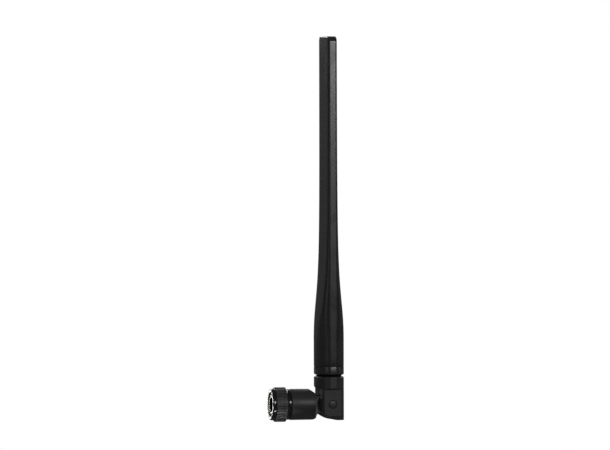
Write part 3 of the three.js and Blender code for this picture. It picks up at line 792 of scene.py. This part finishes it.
def outer_contact():
    """The plated shell that carries the nut and the swivel barrel, with painted shade inside its bore."""
    front, back = SHELL_LOW.x, SHELL_HIGH.x
    body = [  # (along, radius): front tube, flange, grooves for ring, O-ring and clip, tail, then the bore
        (front, 3.6), (front, 3.92), (6, 4.05), (6, 5.2), (6.8, 5.2), (6.8, 4.05),
        (7.45, 4.05), (7.45, 4.5), (9.8, 4.5), (9.8, 3.95), (11.2, 3.95), (11.2, 4.5),
        (13, 4.5), (13, 4.05), (14.2, 4.05), (14.2, 4.5), (15, 4.5), (15, 2.35),
        (back, 2.35), (back, 1.3), (12.4, 1.3), (12.4, 3.5), (front + 0.2, 3.5),
    ]
    shell = turned("outer_contact", eased(body, 0.07, 3))
    sharp_where_steep(shell, 32)
    dress(shell, "connector", "nickel", NICKEL, "outer_contact_shell")

    def in_bore(middle):
        return math.hypot(middle.y, middle.z) < BORE_SHADE and middle.x > front + 0.12

    # The bore's inside takes the dark metal as painted shade.
    second_material(shell, BORE_PAINTED_SHADE, in_bore)


def insulator():
    """The white PTFE plug inside the outer contact, dished round the socket."""
    face = INSULATOR_LOW.x
    dish = [(face + 0.25, 1.22), (face + 0.02, 1.5), (face, 1.9), (face, 3.1), (face + 0.15, 3.38),
            (INSULATOR_HIGH.x, 3.38), (INSULATOR_HIGH.x, 1.22)]
    plug = turned("plug_insulator", eased(dish, 0.1, 3), 96)
    sharp_where_steep(plug, 40)
    dress(plug, "connector", "ptfe", PTFE, "connector_insulator")


def socket_contact():
    """The gold-plated socket on the plug's axis."""
    mouth, tail = CONTACT_LOW.x, CONTACT_HIGH.x
    socket = [(mouth, 0.78), (mouth, 0.98), (mouth + 0.14, 1.1), (tail - 0.4, 1.1), (tail, 0.8),
              (tail, AXIS_HOLE), (8.1, AXIS_HOLE), (7.9, 0.7), (mouth + 0.15, 0.7)]
    contact = turned("socket_contact", eased(socket, 0.05, 3), 72)
    sharp_where_steep(contact, 32)
    dress(contact, "connector", "gold", GOLD, "center_contact")


def front_gasket():
    """The rubber ring against the outer contact's flange."""
    front, back = GASKET_LOW.x, GASKET_HIGH.x
    inner, outer = 4.16, 5.04
    section = [(front, inner), (back, inner), (back, outer), (front, outer)]
    gasket = turned("front_gasket", eased(section, 0.25), 96)
    sharp_where_steep(gasket, 60)
    dress(gasket, "connector", "rubber", RUBBER, "mating_gasket")


# ======== nodes that keep their own shape ========

CARRIED = {
    "nut_retaining_ring": STEEL, "swivel_clip": STEEL, "swivel_o_ring": RUBBER, "crimp_ferrule": NICKEL,
    "coax_knuckle_run": CABLE, "pin_washer_near": STEEL, "pin_washer_far": STEEL, "detent_ball": STEEL,
    "detent_spring": STEEL, "coax_blade_run": CABLE, "balun_sleeve": STEEL, "cable_sleeve": RUBBER,
    "dipole_board": BOARD, "feed_line": COPPER, "ground_line": COPPER, "upper_radiator": COPPER,
    "lower_radiator": COPPER, "high_band_radiator": COPPER, "feed_solder": SOLDER,
    "ground_solder": SOLDER, "board_pad_lower": FOAM, "board_pad_upper": FOAM,
}


def dress_carried_nodes():
    """Gives each node in CARRIED its material."""
    for name, material in CARRIED.items():
        node = frame["nodes"][name]
        for slot in node.material_slots:
            slot.material = material
        if not node.material_slots:
            node.data.materials.append(material)


# ======== stage, light and camera ========


def view_axes():
    """The camera's right, up and backward directions."""
    azimuth, elevation = math.radians(CAMERA_AZIMUTH), math.radians(CAMERA_ELEVATION)
    back = Vector((
        math.sin(azimuth) * math.cos(elevation),
        -math.cos(azimuth) * math.cos(elevation),
        math.sin(elevation),
    ))
    level = Vector((math.cos(azimuth), math.sin(azimuth), 0))
    roll = Matrix.Rotation(math.radians(CAMERA_ROLL), 3, back)
    return roll @ level, roll @ back.cross(level), back


def camera():
    """A far camera, so that the view is almost without perspective."""
    right, up, back = view_axes()
    aim = HINGE + right * VIEW_OFFSET[0] + up * VIEW_OFFSET[1]
    data = bpy.data.cameras.new("view")
    data.sensor_width = SENSOR
    data.lens = SENSOR * CAMERA_DISTANCE / VIEW_WIDTH
    data.clip_start = CAMERA_NEAR
    data.clip_end = CAMERA_FAR
    eye = bpy.data.objects.new("view", data)
    eye.location = (aim + back * CAMERA_DISTANCE) * MM
    eye.rotation_euler = Matrix((right, up, back)).transposed().to_euler()
    bpy.context.scene.collection.objects.link(eye)
    bpy.context.scene.camera = eye


def area_light(name, place, aim, width, height, power, spread=180):
    """A soft box, placed, aimed and sized in millimetres. spread is its beam in degrees."""
    data = bpy.data.lights.new(name, "AREA")
    data.shape = "RECTANGLE"
    data.size, data.size_y = width * MM, height * MM
    data.energy = power
    data.spread = math.radians(spread)
    lamp = bpy.data.objects.new(name, data)
    lamp.location = Vector(place) * MM
    lamp.rotation_euler = (Vector(place) - Vector(aim)).to_track_quat("Z", "Y").to_euler()
    bpy.context.scene.collection.objects.link(lamp)
    lamp.visible_camera = False
    return lamp


def stage():
    """A plain pale disc for a floor."""
    floor = cad_box[0][2] / MM - FLOOR_GAP
    circle = arc((0, 0), FLOOR_RADIUS, 0, 360 - 360 / FLOOR_SIDES, FLOOR_SIDES - 1)
    rim = [(HINGE.x + x, y, floor) for x, y in circle]
    disc = new_piece("floor", rim, [tuple(range(len(rim)))])
    paper = Graph("paper")
    paper.link(paper.blend(paper.noise(3, 2), (0.86, 0.86, 0.86), (0.88, 0.88, 0.88)),
               paper.shader.inputs["Base Color"])
    paper.shader.inputs["Roughness"].default_value = 0.9
    disc.data.materials.append(paper.material)
    disc.visible_glossy = False


def studio_world():
    """White to look at, but dim in reflections, as a white sheet far behind a dark studio is."""
    world = bpy.data.worlds.new("studio")
    world.use_nodes = True
    tree = world.node_tree
    seen = tree.nodes["Background"]
    seen.inputs["Color"].default_value = (1, 1, 1, 1)
    around = tree.nodes.new("ShaderNodeBackground")
    around.inputs["Color"].default_value = (1, 1, 1, 1)
    around.inputs["Strength"].default_value = ROOM_GLOW
    path = tree.nodes.new("ShaderNodeLightPath")
    mix = tree.nodes.new("ShaderNodeMixShader")
    tree.links.new(path.outputs["Is Camera Ray"], mix.inputs["Fac"])
    tree.links.new(around.outputs["Background"], mix.inputs[1])
    tree.links.new(seen.outputs["Background"], mix.inputs[2])
    tree.links.new(mix.outputs["Shader"], tree.nodes["World Output"].inputs["Surface"])
    bpy.context.scene.world = world


def lights():
    """Soft boxes round the object, a small one at the plug's face and one under the grip ring."""
    middle = (HINGE.x, 0, 80)
    overhead = area_light("overhead", (HINGE.x, 0, 1100), (HINGE.x, 0, 0), 1800, 1800, 28)
    overhead.visible_glossy = False
    area_light("key", (165, -700, 225), (HINGE.x, 0, 70), 120, 110, 0.92)
    area_light("rim", (-120, 690, 330), (HINGE.x, 0, 150), 200, 200, 1.05)
    area_light("fill_left", (-620, -380, 260), middle, 420, 420, 0.4)
    area_light("fill_right", (680, -60, 240), middle, 420, 420, 0.25)
    area_light("fill_back", (420, 620, 420), middle, 400, 300, 1.5)
    area_light("face_card", (-42, 150, 0), (-5, 0, 0), 24, 22, 0.00012, spread=12)
    area_light("low_card", (6, -26, -24), (4, -6, -3), 9, 3.5, 0.0001, spread=40)


def build():
    """The whole scene: stage and light first, then the pieces."""
    camera()
    stage()
    studio_world()
    lights()
    radome()
    neck()
    housing()
    hinge_pins()
    knuckle()
    coax_across_hinge()
    coupling_nut()
    thread_insert()
    outer_contact()
    insulator()
    socket_contact()
    front_gasket()
    dress_carried_nodes()
    bpy.context.scene.view_settings.view_transform = "Standard"


build()
